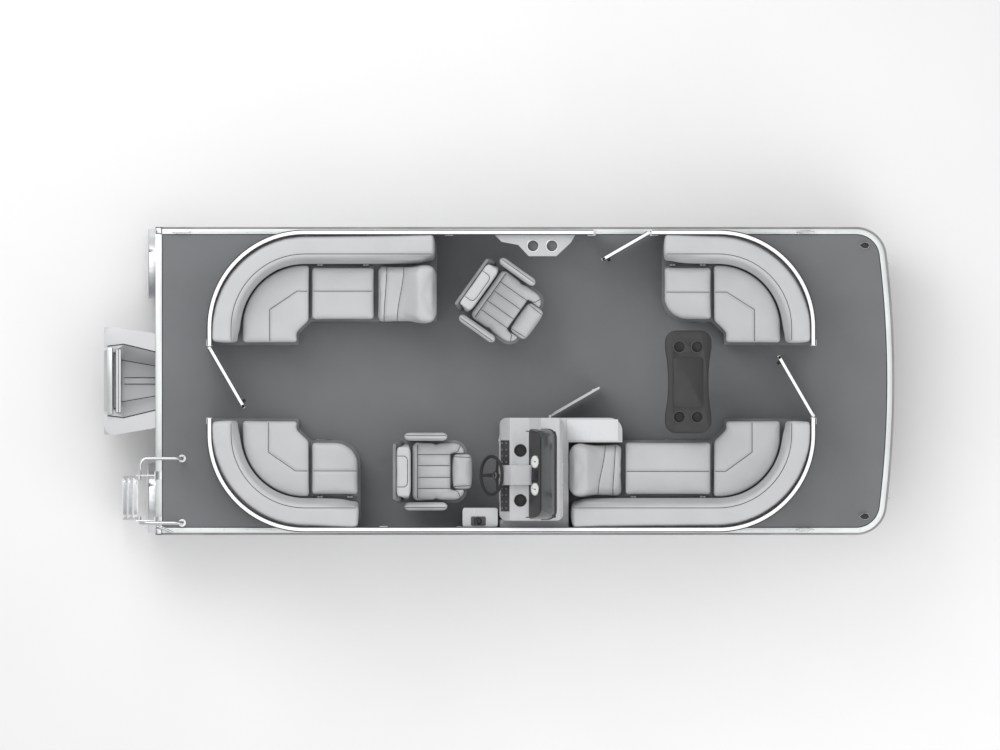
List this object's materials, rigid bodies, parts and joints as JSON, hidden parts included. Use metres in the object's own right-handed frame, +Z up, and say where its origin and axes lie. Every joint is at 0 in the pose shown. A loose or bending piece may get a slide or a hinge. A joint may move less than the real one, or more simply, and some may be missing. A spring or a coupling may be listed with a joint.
{
  "type": "pontoon_boat",
  "caption": "Twin-tube pontoon boat with a fenced deck, corner lounges, helm console, swivel chairs, tables, gates, stern ladder and motor pod",
  "frame": {"origin": "middle of the boat's box, on the ground under the two tubes", "axes": "+X towards the bow, +Y to port, +Z up"},
  "size_m": [6.6478, 2.591, 1.918],
  "materials": {
    "hull_aluminium": "brushed",
    "pod_paint": "satin",
    "deck_vinyl": "matte",
    "trim_aluminium": "satin",
    "bright_metal": "polished",
    "black_plastic": "matte",
    "fence_paint": "gloss",
    "seat_vinyl": "satin",
    "gelcoat": "gloss",
    "smoked_acrylic": "clear",
    "soft_black": "satin",
    "table_laminate": "satin"
  },
  "bodies": {
    "hull": {"port_pontoon": "hull_aluminium", "starboard_pontoon": "hull_aluminium", "crossmembers": "hull_aluminium", "deck": "deck_vinyl", "deck_trim": "trim_aluminium", "motor_pod": "pod_paint", "motor_transom": "pod_paint", "cleats": "bright_metal", "nav_lights": "black_plastic", "ladder_handrails": "bright_metal", "port_aft_fence": "fence_paint", "port_bow_fence": "fence_paint", "starboard_aft_fence": "fence_paint", "starboard_bow_fence": "fence_paint", "port_aft_base": "black_plastic", "port_aft_corner": "seat_vinyl", "port_aft_back": "seat_vinyl", "port_aft_chaise": "seat_vinyl", "starboard_aft_base": "black_plastic", "starboard_aft_corner": "seat_vinyl", "starboard_aft_back": "seat_vinyl", "port_bow_base": "black_plastic", "port_bow_corner": "seat_vinyl", "port_bow_back": "seat_vinyl", "starboard_bow_base": "black_plastic", "starboard_bow_corner": "seat_vinyl", "starboard_bow_back": "seat_vinyl", "starboard_bow_chaise": "seat_vinyl", "helm_console": "gelcoat", "helm_dash": "gelcoat", "windscreen": "smoked_acrylic", "throttle_box": "gelcoat", "helm_pedestal": "black_plastic", "mate_pedestal": "black_plastic", "side_table": "gelcoat", "cocktail_table": "table_laminate", "table_pedestal": "bright_metal"},
    "stern_gate": {"stern_gate": "fence_paint"},
    "bow_gate": {"bow_gate": "fence_paint"},
    "side_gate": {"side_gate": "fence_paint"},
    "console_door": {"console_door": "gelcoat"},
    "steering_wheel": {"steering_wheel": "soft_black"},
    "helm_chair": {"helm_chair_frame": "black_plastic", "helm_chair_cushions": "seat_vinyl"},
    "mate_chair": {"mate_chair_frame": "black_plastic", "mate_chair_cushions": "seat_vinyl"},
    "boarding_ladder": {"boarding_ladder": "bright_metal"},
    "port_aft_lid": {"port_aft_lid": "black_plastic", "port_aft_seat": "seat_vinyl"},
    "starboard_aft_lid": {"starboard_aft_lid": "black_plastic", "starboard_aft_seat": "seat_vinyl"},
    "port_bow_lid": {"port_bow_lid": "black_plastic", "port_bow_seat": "seat_vinyl"},
    "starboard_bow_lid": {"starboard_bow_lid": "black_plastic", "starboard_bow_seat": "seat_vinyl"}
  },
  "joints": [
    {"name": "stern_gate_hinge", "type": "hinge", "parent": "hull", "child": "stern_gate", "pos_m": [-2.4295, 0.2805, 1], "axis": [0, 0, 1], "range_deg": [-30, 58]},
    {"name": "bow_gate_hinge", "type": "hinge", "parent": "hull", "child": "bow_gate", "pos_m": [2.6495, -0.2945, 1], "axis": [0, 0, 1], "range_deg": [-30, 58]},
    {"name": "side_gate_hinge", "type": "hinge", "parent": "hull", "child": "side_gate", "pos_m": [1.2725, 1.25, 1], "axis": [0, 0, 1], "range_deg": [-30, 58]},
    {"name": "console_door_hinge", "type": "hinge", "parent": "hull", "child": "console_door", "pos_m": [0.4345, -0.296, 1], "axis": [0, 0, 1], "range_deg": [-30, 75]},
    {"name": "steering_shaft", "type": "hinge", "parent": "hull", "child": "steering_wheel", "pos_m": [-0.0565, -0.7945, 1.528], "axis": [-0.829, 0, 0.5592], "range_deg": [-540, 540]},
    {"name": "helm_chair_swivel", "type": "hinge", "parent": "hull", "child": "helm_chair", "pos_m": [-0.5745, -0.762, 0.988], "axis": [0, 0, 1], "continuous": true},
    {"name": "mate_chair_swivel", "type": "hinge", "parent": "hull", "child": "mate_chair", "pos_m": [0.0195, 0.659, 0.988], "axis": [0, 0, 1], "continuous": true},
    {"name": "ladder_pivot", "type": "hinge", "parent": "hull", "child": "boarding_ladder", "pos_m": [-3.0225, -0.9855, 0.773], "axis": [0, 1, 0], "range_deg": [0, 235]},
    {"name": "port_aft_lid_hinge", "type": "hinge", "parent": "hull", "child": "port_aft_lid", "pos_m": [-1.3035, 0.977, 1.166], "axis": [-1, 0, 0], "range_deg": [0, 80]},
    {"name": "starboard_aft_lid_hinge", "type": "hinge", "parent": "hull", "child": "starboard_aft_lid", "pos_m": [-1.3735, -0.977, 1.166], "axis": [1, 0, 0], "range_deg": [0, 80]},
    {"name": "port_bow_lid_hinge", "type": "hinge", "parent": "hull", "child": "port_bow_lid", "pos_m": [1.5925, 0.977, 1.166], "axis": [-1, 0, 0], "range_deg": [0, 80]},
    {"name": "starboard_bow_lid_hinge", "type": "hinge", "parent": "hull", "child": "starboard_bow_lid", "pos_m": [1.4275, -0.977, 1.166], "axis": [1, 0, 0], "range_deg": [0, 80]}
  ]
}
